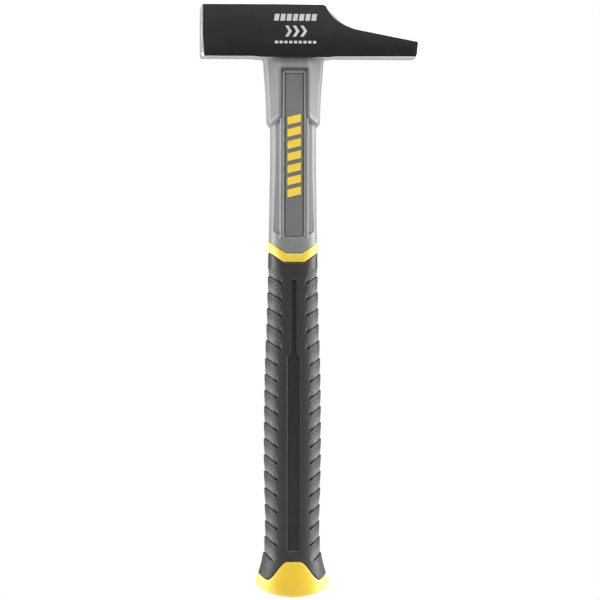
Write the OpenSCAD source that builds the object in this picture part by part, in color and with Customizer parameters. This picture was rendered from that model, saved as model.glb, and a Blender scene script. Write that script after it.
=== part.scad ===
// Joiner's hammer: a forged square head with a flat-bottomed cross pein, bonded
// to a fibreglass rod with a moulded jacket, a soft grip and a butt cap.
// Frame: +Z up along the handle, -X towards the striking face, -Y the front.
// The origin is on the handle's axis, in the plane of the head's underside.

/* [Head] */
// Height of the head, underside to top
head_h = 24.5; // [23:0.5:27]
// Depth of the head, cheek to cheek
head_d = 24.5; // [24:0.5:28]
// Striking face, from the handle's axis
poll_l = 44.4; // [38:0.2:55]
// End of the pein, from the handle's axis
pein_l = 59.2; // [57:0.2:70]
// Height of the pein's blunt tip
tip_h = 7.4; // [6:0.2:8]
// Radius of the hollow between the top and the pein
throat_r = 20; // [18:0.5:24]
// Where the hollow leaves the top, from the handle's axis
throat_x = 15.6; // [14:0.2:18]
// Slope of the pein's upper face, in degrees
pein_slope = 11; // [10:1:14]
// Chamfer round the striking face
face_chamfer = 1.2; // [0.5:0.1:2]
// How far the boss round the eye hangs below the underside
boss_drop = 0.4; // [0.3:0.1:1]

/* [Eye] */
// Width of the eye at its mouth
eye_w = 20; // [18:0.5:22]
// Depth of the eye at its mouth
eye_d = 15; // [14:0.5:17]
// How much wider the eye is at the top
eye_flare = 3; // [1:0.5:4]

/* [Core rod] */
// Width of the fibreglass rod
core_w = 14; // [12:0.5:15]
// Depth of the fibreglass rod
core_d = 10; // [8:0.5:11]

/* [Handle] */
// Length of the handle below the head
handle_l = 256; // [250:0.5:290]
// Width of the collar under the head
collar_w = 28.5; // [27.5:0.5:29]
// Depth of the collar under the head
collar_d = 23.4; // [23:0.1:23.8]
// Length of the collar
collar_l = 31.2; // [28:0.2:34]
// Width of the neck
neck_w = 21.8; // [21.4:0.2:24]
// Depth of the neck
neck_d = 19.4; // [19:0.2:20]
// Width of the grip where it is fullest
grip_w = 27.2; // [25:0.2:30]
// Depth of the grip where it is fullest
grip_d = 24; // [22:0.2:26]
// Width of the butt
butt_w = 34.5; // [31:0.5:38]
// Depth of the butt
butt_d = 29; // [27:0.5:33]
// Thickness of the soft grip
grip_wall = 2.4; // [2:0.1:2.8]

/* [Inlay] */
// Width of the inlay plates
inlay_w = 9; // [8:0.1:9.4]
// Bars in the mark on each plate
bars = 7; // [3:1:8]

/* [Hidden] */
gap = 0.05;              // kept between moulded layers whose facets could cross
cut = 1;                 // how far a cutter runs past what it cuts

// Head
boss_half = 20;          // half length of the boss along X
boss_flat = 15.6;        // half length of its level seat
nose = [0.8, 3.2, 1.6];  // pein's end: set-back on top, height of its crest, set-back below
eye_squareness = 3.2;
eye_steps = 48;

// Handle heights
collar_end_z = -collar_l;
neck_top_z = collar_end_z - 2.7;
band_z = -93;            // upper edge of the band at the front
band_h = 4;
band_slope = 0.65;       // rise of the band for each unit sideways
band_flat = [3.7, 5];    // half width of its level stretch, upper and lower edge
band_proud = 0.3;
band_bevel = 0.4;
jacket_end_z = 9 - handle_l;
core_end_z = jacket_end_z + 5;
core_top_z = head_h - 0.4;
rim_z = 6.8 - handle_l;  // widest section of the butt
end_r = 31;              // radius of the butt's end, side to side
end_lift = 0.9;          // how much higher the end is at its front and rear
rim_round = 1.8;         // rounding between the butt's wall and its end

// Rib down the neck, the window for it in the collar, and the pockets beside it
rib_y = 9.7;
rib_half = [5.3, 6.6];   // half width inside the window and below it
rib_bevel = 0.5;
rib_z = [-6.2, -86.3];
rib_root = 2;            // how far the rib reaches inside the jacket
window_half = 6.5;
window_z = -5;
window_y = 8.9;          // half depth of the window's floor
pocket_x = [6.9, 9.2];
pocket_z = [-34.6, -83];
pocket_y = 7;

// Inlay plates and the bars on them
inlay_z = [-7.7, -85.1];
inlay_y = [8.9, 9.35];   // half depth of a plate's back and face
inlay_corner = 1.2;
bar_w = 6.4;
bar_h = 3.7;
bar_pitch = 5.73;
bar_slant = 1.6;
bar_y = 9.62;            // half depth of the bars' faces
bars_top_z = -26.9;

// Slot down the grip: narrow above its shoulder and wide below
slot_half = [1, 2.9];
slot_z = [-105.6, -140.3, -141.7, -233];
slot_deep = 0.9;

// Grip: its first and last level rings, then its lower edge, which hangs in lobes
grip_z = [-101, -236];
lobe_z = [-238.3, -246.6, -244.5]; // at the front, at the lobes and at the sides
lobe_x = [3.8, 11.7, 15.2];        // half widths where those heights are reached

quarter_steps = 10;      // facets in a quarter of the handle's section

// ---- Sections of the handle ----

function lerp(a, b, t) = a + (b - a) * t;
function smooth(t) = let (c = min(1, max(0, t))) c * c * (3 - 2 * c);

// Heights below the band stretch with the length of the handle
function low(z) = band_z + (z - band_z) * (handle_l + band_z) / (256.5 + band_z);

// [height, width, depth, squareness], down the handle
STATIONS = [
    [-boss_drop, collar_w + 2.3, collar_d + 0.6, 3.4],
    [-boss_drop - 0.9, collar_w + 0.9, collar_d + 0.3, 3.4],
    [-boss_drop - 1.8, collar_w, collar_d, 3.4],
    [-6, collar_w - 0.5, collar_d - 0.3, 3.3],
    [-12, collar_w - 1.3, collar_d - 0.8, 3.2],
    [-20, collar_w - 2.4, collar_d - 1.4, 3.1],
    [collar_end_z, collar_w - 3.1, collar_d - 1.9, 3],
    [neck_top_z, neck_w, neck_d - 0.7, 2.8],
    [-52, neck_w, neck_d - 0.7, 2.8],
    [-80, neck_w + 0.8, neck_d - 0.3, 2.7],
    [-88, neck_w + 1.3, neck_d + 0.4, 2.6],
    [-97, neck_w + 1.9, neck_d + 1.1, 2.5],
    [low(-106), neck_w + 2, neck_d + 1.6, 2.5],
    [low(-128), grip_w - 2.3, grip_d - 1.7, 2.5],
    [low(-143), grip_w - 1, grip_d - 0.8, 2.5],
    [low(-160), grip_w - 0.4, grip_d - 0.2, 2.5],
    [low(-183), grip_w, grip_d, 2.5],
    [low(-200), grip_w - 0.3, grip_d - 0.2, 2.5],
    [low(-214), grip_w - 1.2, grip_d - 0.8, 2.5],
    [low(-222), grip_w - 1.4, grip_d - 0.8, 2.5],
    [low(-230), grip_w - 0.6, grip_d, 2.4],
    [low(-236), lerp(grip_w, butt_w, 0.2), lerp(grip_d, butt_d, 0.28), 2.4],
    [low(-240), lerp(grip_w, butt_w, 0.35), lerp(grip_d, butt_d, 0.45), 2.3],
    [low(-245.4), lerp(grip_w, butt_w, 0.75), lerp(grip_d, butt_d, 0.8), 2.3],
    [low(-248.4), butt_w - 0.1, butt_d - 0.1, 2.2],
    [rim_z, butt_w, butt_d, 2.2]
];
function column(k) = [for (s = STATIONS) [s[0], s[k]]];
WIDTHS = column(1);
DEPTHS = column(2);
SQUARENESS = column(3);

// Point of the section at height z, from phi 90 at the front's centre to phi 0 at
// the side's, lying t inside the surface
function section_point(phi, z, t) =
    let (n = 2 / lookup(z, SQUARENESS))
    [
        (lookup(z, WIDTHS) / 2 - t) * pow(cos(phi), n),
        (lookup(z, DEPTHS) / 2 - t) * pow(sin(phi), n),
        z
    ];
PHIS = [for (i = [0 : quarter_steps]) 90 - 90 * i / quarter_steps];

// Ring round the handle, from the front's centre by +X, mirrored from a quarter
function ring_of(quarter) =
    let (k = len(quarter) - 1)
    concat(
        [for (i = [0 : k]) [quarter[i][0], -quarter[i][1], quarter[i][2]]],
        [for (i = [k - 1 : -1 : 0]) quarter[i]],
        [for (i = [1 : k]) [-quarter[i][0], quarter[i][1], quarter[i][2]]],
        [for (i = [k - 1 : -1 : 1]) [-quarter[i][0], -quarter[i][1], quarter[i][2]]]
    );
function level_ring(z, t = 0) = ring_of([for (phi = PHIS) section_point(phi, z, t)]);
function stations_between(top, bottom, t = 0) = [
    for (s = STATIONS) if (s[0] < top && s[0] > bottom) level_ring(s[0], t)
];

// Edges that aren't level: the band's upper (0) and lower (1), and the grip's lower
function band_edge(x, e) = band_z - e * band_h + band_slope * max(0, x - band_flat[e]);
function lobe_edge(x) = low(
    x < lobe_x[1]
        ? lerp(lobe_z[0], lobe_z[1], smooth((x - lobe_x[0]) / (lobe_x[1] - lobe_x[0])))
        : lerp(lobe_z[1], lobe_z[2], smooth((x - lobe_x[1]) / (lobe_x[2] - lobe_x[1])))
);

// Rings along those edges, moved down by drop, or a part s of the way to a level z
function band_ring(e, t = 0, drop = 0) = ring_of([
    for (phi = PHIS)
    let (x = section_point(phi, band_z, 0)[0])
    section_point(phi, band_edge(x, e) - drop, t)
]);
function lobe_ring(t = 0, drop = 0, z = 0, s = 0) = ring_of([
    for (phi = PHIS)
    let (x = section_point(phi, low(lobe_z[2]), 0)[0])
    section_point(phi, lerp(lobe_edge(x) - drop, z, s), t)
]);

// The butt's end, curved mostly from side to side. Its rings are copies of the rim,
// scaled by share and lifted by rise. The wall's rings go from the grip's edge to the rim.
function end_z(x, y) =
    end_r - handle_l - sqrt(end_r * end_r - x * x) + end_lift * pow(2 * y / butt_d, 2);
function end_ring(share, rise = 0) = [
    for (p = level_ring(rim_z) * share) [p[0], p[1], end_z(p[0], p[1]) + rise]
];
function wall_ring(s) = ring_of([
    for (phi = PHIS)
    let (x = section_point(phi, low(lobe_z[2]), 0)[0], rim = section_point(phi, rim_z, 0))
    section_point(phi, lerp(lobe_edge(x) - gap, end_z(rim[0], rim[1]) + rim_round, s), 0)
]);

function reversed(list) = [for (i = [len(list) - 1 : -1 : 0]) list[i]];

// Solid over a chain of rings: the last joins the first, or both ends are capped
module skin(rings, joined = false) {
    m = len(rings);
    n = len(rings[0]);
    sides = [
        for (i = [0 : m - (joined ? 1 : 2)], j = [0 : n - 1])
        let (k = (j + 1) % n, a = i * n, b = (i + 1) % m * n)
        each [[a + j, a + k, b + k], [a + j, b + k, b + j]]
    ];
    caps = joined ? [] : [
        [for (j = [n - 1 : -1 : 0]) j],
        [for (j = [0 : n - 1]) (m - 1) * n + j]
    ];
    polyhedron([for (r = rings) each r], concat(sides, caps), convexity = 8);
}

// Repeats what faces the front on the rear
module front_and_rear() {
    children();
    rotate(180) children();
}

// An outline in X and Z, extruded between two half depths on the front
module slab(depths) {
    translate([0, -depths[0], 0]) rotate([90, 0, 0])
        linear_extrude(depths[1] - depths[0]) children();
}

// ---- Head ----

// The hollow is a circle that starts from the top at throat_x and runs into the
// pein's upper face without a break, at its foot
tip = [pein_l - nose[0], tip_h];
tip_to_top = [throat_x, head_h] - tip;
throat_turn = asin(1 - tip_to_top * [sin(pein_slope), cos(pein_slope)] / throat_r) - pein_slope;
throat = [throat_x, head_h] + throat_r * [cos(throat_turn), sin(throat_turn)];
throat_foot = throat - throat_r * [sin(pein_slope), cos(pein_slope)];

module head_outline() {
    boss = [
        for (i = [-10 : 10])
        let (x = boss_half * i / 10)
        [x, -boss_drop * (1 - smooth((abs(x) - boss_flat) / (boss_half - boss_flat)))]
    ];
    polygon(concat(
        [[-poll_l, 0]],
        boss,
        [
            [pein_l - nose[2], 0], [pein_l, nose[1]], tip, throat_foot,
            [throat[0], head_h], [-poll_l, head_h]
        ]
    ));
}

// The eye as a solid, widening upwards and run out past both of its mouths by over
module eye(over = 0) {
    n = 2 / eye_squareness;
    function half(z, size, flare) = (size + flare * z / head_h) / 2;
    function loop(z) = [
        for (i = [0 : eye_steps - 1])
        let (a = 360 * i / eye_steps)
        [
            half(z, eye_w, eye_flare) * sign(cos(a)) * pow(abs(cos(a)), n),
            half(z, eye_d, eye_flare * 0.7) * sign(sin(a)) * pow(abs(sin(a)), n),
            z
        ]
    ];
    skin([loop(head_h + over), loop(-boss_drop - over)]);
}

module face_chamfers() {
    side = face_chamfer * sqrt(2);
    for (z = [0, head_h])
        translate([-poll_l, 0, z]) rotate([0, 45, 0])
            cube([side, head_d + cut, side], center = true);
    for (y = [-head_d, head_d] / 2)
        translate([-poll_l, y, head_h / 2]) rotate([0, 0, 45])
            cube([side, side, head_h + cut], center = true);
}

module head() {
    color("dimgray") difference() {
        rotate([90, 0, 0]) linear_extrude(head_d, center = true) head_outline();
        translate([throat[0], 0, throat[1]]) rotate([90, 0, 0])
            cylinder(h = head_d + cut, r = throat_r, center = true, $fn = 96);
        face_chamfers();
        eye(cut);
    }
}

module core_rod(top, bottom) {
    flat_w = core_w - core_d;
    translate([0, 0, bottom]) linear_extrude(top - bottom) {
        square([flat_w, core_d], center = true);
        for (side = [-1, 1]) translate([side * flat_w / 2, 0]) circle(d = core_d, $fn = 48);
    }
}

module eye_resin() {
    color("darkslategray") difference() {
        eye();
        core_rod(core_top_z, -boss_drop - cut);
    }
}

module fibreglass_core() {
    color("goldenrod") core_rod(core_top_z, core_end_z);
}

// ---- Jacket ----

// Outside of the collar and neck, then the thinner sleeve under band and grip
module jacket_body() {
    skin(concat(
        stations_between(0, -85),
        [band_ring(0, 0, -2.5), band_ring(0), band_ring(0, grip_wall), band_ring(1, grip_wall)],
        stations_between(grip_z[0], jacket_end_z, grip_wall),
        [level_ring(jacket_end_z, grip_wall)]
    ));
}

// A length of rib with bevelled long edges
module rib(half, top, bottom) {
    translate([0, 0, bottom]) linear_extrude(top - bottom) polygon([
        [-half, rib_root - window_y], [-half, rib_bevel - rib_y], [rib_bevel - half, -rib_y],
        [half - rib_bevel, -rib_y], [half, rib_bevel - rib_y], [half, rib_root - window_y]
    ]);
}

module pockets() {
    size = [pocket_x[1] - pocket_x[0], pocket_z[0] - pocket_z[1]];
    for (x = [pocket_x[0], -pocket_x[1]])
        slab([pocket_y, neck_d]) translate([x, pocket_z[1]]) square(size);
}

module window() {
    slab([window_y, collar_d])
        translate([-window_half, neck_top_z]) square([window_half * 2, window_z - neck_top_z]);
}

module handle_jacket() {
    color("silver") difference() {
        union() {
            difference() {
                jacket_body();
                front_and_rear() {
                    window();
                    pockets();
                }
            }
            front_and_rear() {
                rib(rib_half[0], rib_z[0], neck_top_z);
                rib(rib_half[1], neck_top_z, rib_z[1]);
            }
        }
        front_and_rear() slab([inlay_y[0], neck_d]) inlay_outline();
        core_rod(cut, core_end_z);
    }
}

// ---- Inlays and their marks ----

module inlay_outline() {
    h = inlay_w / 2;
    polygon([
        [-h, inlay_z[0]], [h, inlay_z[0]],
        [h, inlay_z[1] + inlay_corner], [h - inlay_corner, inlay_z[1]],
        [inlay_corner - h, inlay_z[1]], [-h, inlay_z[1] + inlay_corner]
    ]);
}

module front_inlay() {
    color("gray") slab(inlay_y) inlay_outline();
}

module rear_inlay() {
    rotate(180) front_inlay();
}

module front_mark_bars() {
    color("gold") for (i = [0 : bars - 1])
        slab([inlay_y[1], bar_y]) translate([0, bars_top_z - i * bar_pitch]) polygon([
            [-bar_w / 2, -bar_slant], [bar_w / 2, 0],
            [bar_w / 2, -bar_h], [-bar_w / 2, -bar_h - bar_slant]
        ]);
}

module rear_mark_bars() {
    rotate(180) front_mark_bars();
}

// ---- Band, grip and butt ----

module accent_band() {
    color("gold") skin([
        band_ring(0, 0, gap),
        band_ring(0, -band_proud, band_bevel),
        band_ring(1, -band_proud, -band_bevel),
        band_ring(1, 0, -gap),
        band_ring(1, grip_wall - gap, -gap),
        band_ring(0, grip_wall - gap, gap)
    ], joined = true);
}

module slot_outline() {
    half = [slot_half[0], slot_half[0], slot_half[1], slot_half[1]];
    polygon(concat(
        [for (i = [0 : 3]) [half[i], low(slot_z[i])]],
        [for (i = [3 : -1 : 0]) [-half[i], low(slot_z[i])]]
    ));
}

// What the slot leaves standing: the grip's form, slot_deep inside its surface
module slot_floor() {
    top = low(slot_z[0]) + cut;
    bottom = low(slot_z[3]) - cut;
    skin(concat(
        [level_ring(top, slot_deep)],
        stations_between(top, bottom, slot_deep),
        [level_ring(bottom, slot_deep)]
    ));
}

module grip_sleeve() {
    top = grip_z[0];
    bottom = low(grip_z[1]);
    inside = grip_wall - gap;
    color("dimgray") difference() {
        skin(concat(
            [band_ring(1), level_ring(top)],
            stations_between(top, bottom),
            [level_ring(bottom)],
            [for (s = [0.67, 0.33, 0]) lobe_ring(0, 0, bottom, s)],
            [lobe_ring(inside), level_ring(bottom, inside)],
            reversed(stations_between(top, bottom, inside)),
            [level_ring(top, inside), band_ring(1, inside)]
        ), joined = true);
        front_and_rear() difference() {
            slab([neck_d / 4, grip_d]) slot_outline();
            slot_floor();
        }
    }
}

module butt_cap() {
    inside = grip_wall - gap;
    rim_share = 1 - 2 * rim_round / butt_w;
    middle = 0.08;
    color("gold") skin(concat(
        [level_ring(jacket_end_z - gap, inside), lobe_ring(inside, gap)],
        [for (s = [0, 0.35, 0.7, 1]) wall_ring(s)],
        [for (a = [22.5, 45, 67.5, 90])
            end_ring(lerp(rim_share, 1, cos(a)), rim_round * (1 - sin(a)))],
        [for (share = [0.65, 0.35]) end_ring(share)],
        [[for (p = level_ring(rim_z)) [p[0] * middle, p[1] * middle, -handle_l]]]
    ));
}

head();
eye_resin();
fibreglass_core();
handle_jacket();
front_inlay();
rear_inlay();
front_mark_bars();
rear_mark_bars();
accent_band();
grip_sleeve();
butt_cap();
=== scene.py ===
import math

import bmesh
import bpy
import numpy as np
from mathutils import Matrix, Vector


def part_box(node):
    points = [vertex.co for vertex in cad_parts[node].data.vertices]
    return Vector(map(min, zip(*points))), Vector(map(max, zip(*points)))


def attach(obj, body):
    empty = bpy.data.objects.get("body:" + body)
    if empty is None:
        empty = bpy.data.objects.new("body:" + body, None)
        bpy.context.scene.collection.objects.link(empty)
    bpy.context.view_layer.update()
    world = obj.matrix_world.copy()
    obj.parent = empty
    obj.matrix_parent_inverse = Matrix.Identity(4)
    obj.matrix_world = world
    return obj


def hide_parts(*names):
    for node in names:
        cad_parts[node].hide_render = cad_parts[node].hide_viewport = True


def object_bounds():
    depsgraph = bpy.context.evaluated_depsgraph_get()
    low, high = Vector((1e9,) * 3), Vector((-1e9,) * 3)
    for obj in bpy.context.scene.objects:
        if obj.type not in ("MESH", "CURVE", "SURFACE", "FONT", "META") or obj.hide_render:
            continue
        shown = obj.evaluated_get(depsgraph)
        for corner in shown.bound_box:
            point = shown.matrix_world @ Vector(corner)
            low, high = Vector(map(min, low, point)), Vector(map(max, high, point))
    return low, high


# A joiner's hammer, hung upright: +Z up the handle, -X the striking face, -Y the front.
# Shapes are worked out in millimetres and made in metres.

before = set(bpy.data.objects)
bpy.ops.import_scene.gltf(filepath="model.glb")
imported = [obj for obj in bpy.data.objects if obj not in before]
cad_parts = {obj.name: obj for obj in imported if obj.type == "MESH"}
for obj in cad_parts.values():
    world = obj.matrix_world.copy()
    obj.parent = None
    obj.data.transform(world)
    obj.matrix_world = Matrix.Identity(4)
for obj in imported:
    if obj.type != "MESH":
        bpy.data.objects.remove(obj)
CAD_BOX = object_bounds()
MM = 0.001


def cad_box_mm(node):
    """Lowest and highest corners of a CAD node, in millimetres."""
    low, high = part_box(node)
    return np.array(low) / MM, np.array(high) / MM


HEAD_LOW, HEAD_HIGH = cad_box_mm("head")
BUTT_LOW, BUTT_HIGH = cad_box_mm("butt_cap")
INLAY_LOW, INLAY_HIGH = cad_box_mm("front_inlay")
EYE_LOW, EYE_HIGH = cad_box_mm("eye_resin")

# ---------------------------------------------------------------------------
# Camera
# ---------------------------------------------------------------------------

CAMERA_DISTANCE = 1.87              # metres
CAMERA_YAW = math.radians(3.5)      # to the left of the front
CAMERA_ROLL = math.radians(0.14)
CAMERA_AIM = Vector((0.0035, 0.0, -0.115))
LENS = 236.0                        # millimetres
SENSOR = 36.0


def make_camera():
    data = bpy.data.cameras.new("camera")
    data.lens = LENS
    data.sensor_width = SENSOR
    camera = bpy.data.objects.new("camera", data)
    away = Vector((-math.sin(CAMERA_YAW), -math.cos(CAMERA_YAW), 0.0))
    camera.location = CAMERA_AIM + away * CAMERA_DISTANCE
    turn = (-away).to_track_quat("-Z", "Y").to_matrix().to_4x4()
    roll = Matrix.Rotation(CAMERA_ROLL, 4, "Z")
    camera.rotation_euler = (turn @ roll).to_euler()
    bpy.context.scene.collection.objects.link(camera)
    bpy.context.scene.camera = camera


make_camera()

# ---------------------------------------------------------------------------
# Curves and meshes
# ---------------------------------------------------------------------------


def step(low, high, value):
    """0 at low, 1 at high, smooth between; low may be above high."""
    t = np.clip((value - low) / (high - low), 0.0, 1.0)
    return t * t * (3 - 2 * t)


def mix(a, b, t):
    return a + (b - a) * t


def smooth_curve(points):
    """Function through (z, value) points with no overshoot between them."""
    z, v = np.array(sorted(points), float).T
    h = np.diff(z)
    m = np.diff(v) / h
    slope = np.concatenate([[m[0]], np.zeros(len(m) - 1), [m[-1]]])
    same = m[:-1] * m[1:] > 0
    slope[1:-1][same] = 2 * m[:-1][same] * m[1:][same] / (m[:-1] + m[1:])[same]

    def value(q):
        q = np.clip(q, z[0], z[-1])
        i = np.clip(np.searchsorted(z, q, side="right") - 1, 0, len(h) - 1)
        t = (q - z[i]) / h[i]
        return (
            (1 + 2 * t) * (1 - t) ** 2 * v[i] + t * (1 - t) ** 2 * h[i] * slope[i]
            + t * t * (3 - 2 * t) * v[i + 1] - t * t * (1 - t) * h[i] * slope[i + 1]
        )

    return value


def spaced(*stops):
    """Values from stop to stop: spaced(0, 0.5, 4, 1, 9) goes to 4 by 0.5 and on to 9 by 1."""
    values = [stops[0]]
    for spacing, end in zip(stops[1::2], stops[2::2]):
        count = max(1, round(abs(end - values[-1]) / spacing))
        values += list(np.linspace(values[-1], end, count + 1)[1:])
    return np.array(values)


def link_mesh(name, vertices, faces, sharp=35.0):
    """Object of a mesh given in millimetres, smooth but for edges sharper than sharp degrees."""
    mesh = bpy.data.meshes.new(name)
    mesh.from_pydata((np.asarray(vertices, float) * MM).tolist(), [], [list(f) for f in faces])
    mesh.validate()
    mesh.shade_smooth()
    mesh.set_sharp_from_angle(angle=math.radians(sharp))
    piece = bpy.data.objects.new(name, mesh)
    bpy.context.scene.collection.objects.link(piece)
    return piece


def full_rings(quarter):
    """Rows of a quarter section, front centre to side centre, mirrored to whole rings."""
    x, y, z = quarter
    k = x.shape[1] - 1
    out, back = list(range(k + 1)), list(range(k - 1, -1, -1))
    columns = out + back + out[1:] + back[:-1]
    sign_x = np.array([1] * (2 * k + 1) + [-1] * (2 * k - 1))
    sign_y = np.array([-1] * (k + 1) + [1] * (2 * k) + [-1] * (k - 1))
    return np.stack([x[:, columns] * sign_x, y[:, columns] * sign_y, z[:, columns]], axis=2)


def ring_faces(rows, columns, joined):
    """Quads over rings that run down the piece; the last ring joins the first, or both get a cap."""
    i, j = np.meshgrid(np.arange(rows if joined else rows - 1), np.arange(columns), indexing="ij")
    k = (j + 1) % columns
    here, below = i * columns, ((i + 1) % rows) * columns
    faces = np.stack([here + j, below + j, below + k, here + k], axis=2).reshape(-1, 4).tolist()
    if not joined:
        faces.append(list(range(columns)))
        faces.append(list(range(rows * columns - 1, (rows - 1) * columns - 1, -1)))
    return faces


def tube_faces(rows, columns):
    """Quads between rows of an outline, each further on than the last, and a cap at each end."""
    faces = []
    for row in range(rows - 1):
        here, ahead = row * columns, (row + 1) * columns
        for j in range(columns):
            k = (j + 1) % columns
            faces.append([here + j, here + k, ahead + k, ahead + j])
    faces.append(list(range(columns - 1, -1, -1)))
    faces.append(list(range((rows - 1) * columns, rows * columns)))
    return faces


def ring_piece(name, quarter, joined=False, sharp=35.0, **marks):
    """Piece made of mirrored quarter rows. Marks, one value a vertex, go to the material."""
    rings = full_rings(quarter)
    rows, columns = rings.shape[:2]
    piece = link_mesh(name, rings.reshape(-1, 3), ring_faces(rows, columns, joined), sharp)
    for mark, value in marks.items():
        values = full_rings((value, value, value))[:, :, 2].reshape(-1)
        layer = piece.data.attributes.new(mark, "FLOAT", "POINT")
        layer.data.foreach_set("value", values.astype(np.float32))
    return piece


# ---------------------------------------------------------------------------
# The handle's section: half width and half depth of a rounded oval, by height
# ---------------------------------------------------------------------------

RIM_Z = -249.5
BUTT_HALF_W = BUTT_HIGH[0]
BUTT_HALF_D = BUTT_HIGH[1]

half_width = smooth_curve([
    (-0.4, 15.5), (-1.2, 14.75), (-2.2, 14.3), (-6, 14.0), (-11.7, 13.6), (-17.4, 13.2),
    (-23.1, 12.9), (-31.1, 12.68), (-31.5, 12.5), (-33.6, 11.05), (-34.1, 10.9), (-51, 10.9), (-63, 11.1),
    (-80, 11.3), (-88, 11.55), (-97, 11.7), (-106, 11.85), (-114.3, 12.1), (-128.5, 12.5), (-142.8, 13.1),
    (-160, 13.45), (-182.7, 13.6), (-199.8, 13.45), (-214, 13.05), (-221, 12.95), (-228.3, 13.2),
    (-234, 13.65), (-239.7, 14.7), (-244, 15.95), (-248.2, 17.15), (RIM_Z, BUTT_HALF_W),
])
half_depth = smooth_curve([
    (-0.4, 12.0), (-2.2, 11.75), (-6, 11.6), (-17.4, 11.1), (-31.1, 10.75), (-31.5, 10.6),
    (-33.6, 9.45), (-34.1, 9.35), (-51, 9.35), (-80, 9.6), (-88, 9.8), (-97, 10.2), (-106, 10.5),
    (-128.5, 11.15), (-160, 11.8), (-182.7, 12.0), (-214, 11.6), (-221, 11.6), (-234, 12.2),
    (-244, 13.6), (RIM_Z, BUTT_HALF_D),
])
squareness = smooth_curve([
    (-0.4, 3.4), (-20, 3.1), (-34, 2.8), (-75, 2.8), (-88, 3.0), (-106, 2.7), (-140, 2.5),
    (-230, 2.4), (-244, 2.25), (RIM_Z, 2.2),
])


def oval_y(x, z):
    """Half depth of the handle's surface at x from its centre line."""
    inside = np.clip(1 - np.clip(x / half_width(z), 0, 1) ** squareness(z), 0, 1)
    return half_depth(z) * inside ** (1 / squareness(z))


def columns_for(z, front, sides):
    """X of every column at height z: the given distances, then sides more round to the side's centre."""
    a, n = half_width(z), squareness(z)
    start = np.arcsin(np.clip(front[-1] / a, 0, 1) ** (n / 2))
    turn = 1 - (1 - np.linspace(0, 1, sides + 1)[1:]) ** 1.15
    angle = start[:, None] + (math.pi / 2 - start[:, None]) * turn[None, :]
    tail = a[:, None] * np.sin(angle) ** (2 / n[:, None])
    return np.concatenate([np.repeat(front[None, :], len(z), axis=0), tail], axis=1)


def refitted(x, z_from, z_to, front):
    """Columns laid out at one height, spread to fit the width at another. The front ones stay."""
    wide_from, wide_to = half_width(z_from), half_width(z_to)
    stretch = (wide_to - front[-1]) / (wide_from - front[-1])
    return np.where(x > front[-1], front[-1] + (x - front[-1]) * stretch, x)


def pushed_in(x, y, z, depth):
    """Points of the surface moved inwards, square to the section, by depth."""
    a, b, n = half_width(z), half_depth(z), squareness(z)
    nx = np.clip(x / a, 0, 1) ** (n - 1) / a
    ny = np.clip(y / b, 0, 1) ** (n - 1) / b
    size = np.hypot(nx, ny) + 1e-12
    return x - nx / size * depth, y - ny / size * depth


# ---------------------------------------------------------------------------
# Jacket: collar, neck, rib with its recess, and the sleeve inside the grip
# ---------------------------------------------------------------------------

RIB_Y = 9.7                         # half depth at the rib's crest
INLAY_FACE = -INLAY_LOW[1]
SEAT_Y = 8.2                        # half depth at the floor of the inlay's recess
INLAY_HALF = 4.2
INLAY_GAP = 0.5                     # between the inlay's side and the recess
INLAY_TOP = INLAY_HIGH[2]
INLAY_BOTTOM = INLAY_LOW[2]
WINDOW_HALF = 6.5
WINDOW_TOP = -4.9
WINDOW_Y = 9.0                      # half depth at the window's floor
RIB_IN_WINDOW = 5.6                 # half width of the rib above WIDE_RIB_Z
RIB_BELOW = 6.75                    # and below it
WIDE_RIB_Z = -29.0
RIB_END = -85.0
GRIP_WALL = 2.3
ROD_TOP, SLEEVE_END = -0.4, -247.0

BAND_Z = (-93.0, -97.0)             # upper and lower edge at the front's centre
BAND_FLAT = (3.8, 4.95)             # half width of their level stretches
BAND_RISE = 0.68


def band_edge(x, which):
    return BAND_Z[which] + BAND_RISE * np.clip(x - BAND_FLAT[which], 0, None)


def box_inside(x, z, half, top, bottom, round_top=0.0, cut_bottom=0.0):
    """How far a point lies inside an upright slot, negative outside it."""
    qx, qz = x - half + round_top, z - top + round_top
    corner = round_top - np.hypot(np.clip(qx, 0, None), np.clip(qz, 0, None))
    plain = np.minimum(half - x, top - z)
    inside = np.where((qx > 0) & (qz > 0), corner, plain)
    inside = np.minimum(inside, z - bottom)
    if cut_bottom:
        inside = np.minimum(inside, (half - x + z - bottom - cut_bottom) / math.sqrt(2))
    return inside


def with_pockets(x, z, y):
    """Half depth y with the pockets beside the rib, which have a sloped end."""
    end = RIB_END + 0.6 + 0.62 * np.clip(x - RIB_BELOW, 0, None)
    start = WIDE_RIB_Z - 1.0 - 1.25 * np.clip(x - 6.9, 0, None)
    inside = step(end, end + 0.5, z) * step(start + 0.4, start - 0.4, z) * step(9.9, 9.2, x)
    return mix(y, np.minimum(y, 7.75 - 0.42 * (x - 7.0)), inside)


def with_window(x, z, y):
    """Half depth y with the window in the collar, whose edge is eased."""
    inside = box_inside(x, z, WINDOW_HALF, WINDOW_TOP, WIDE_RIB_Z, round_top=1.0)
    y = y - 0.4 * step(-0.9, 0, inside)
    return mix(y, np.minimum(y, WINDOW_Y), step(0, 0.18, inside))


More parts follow.
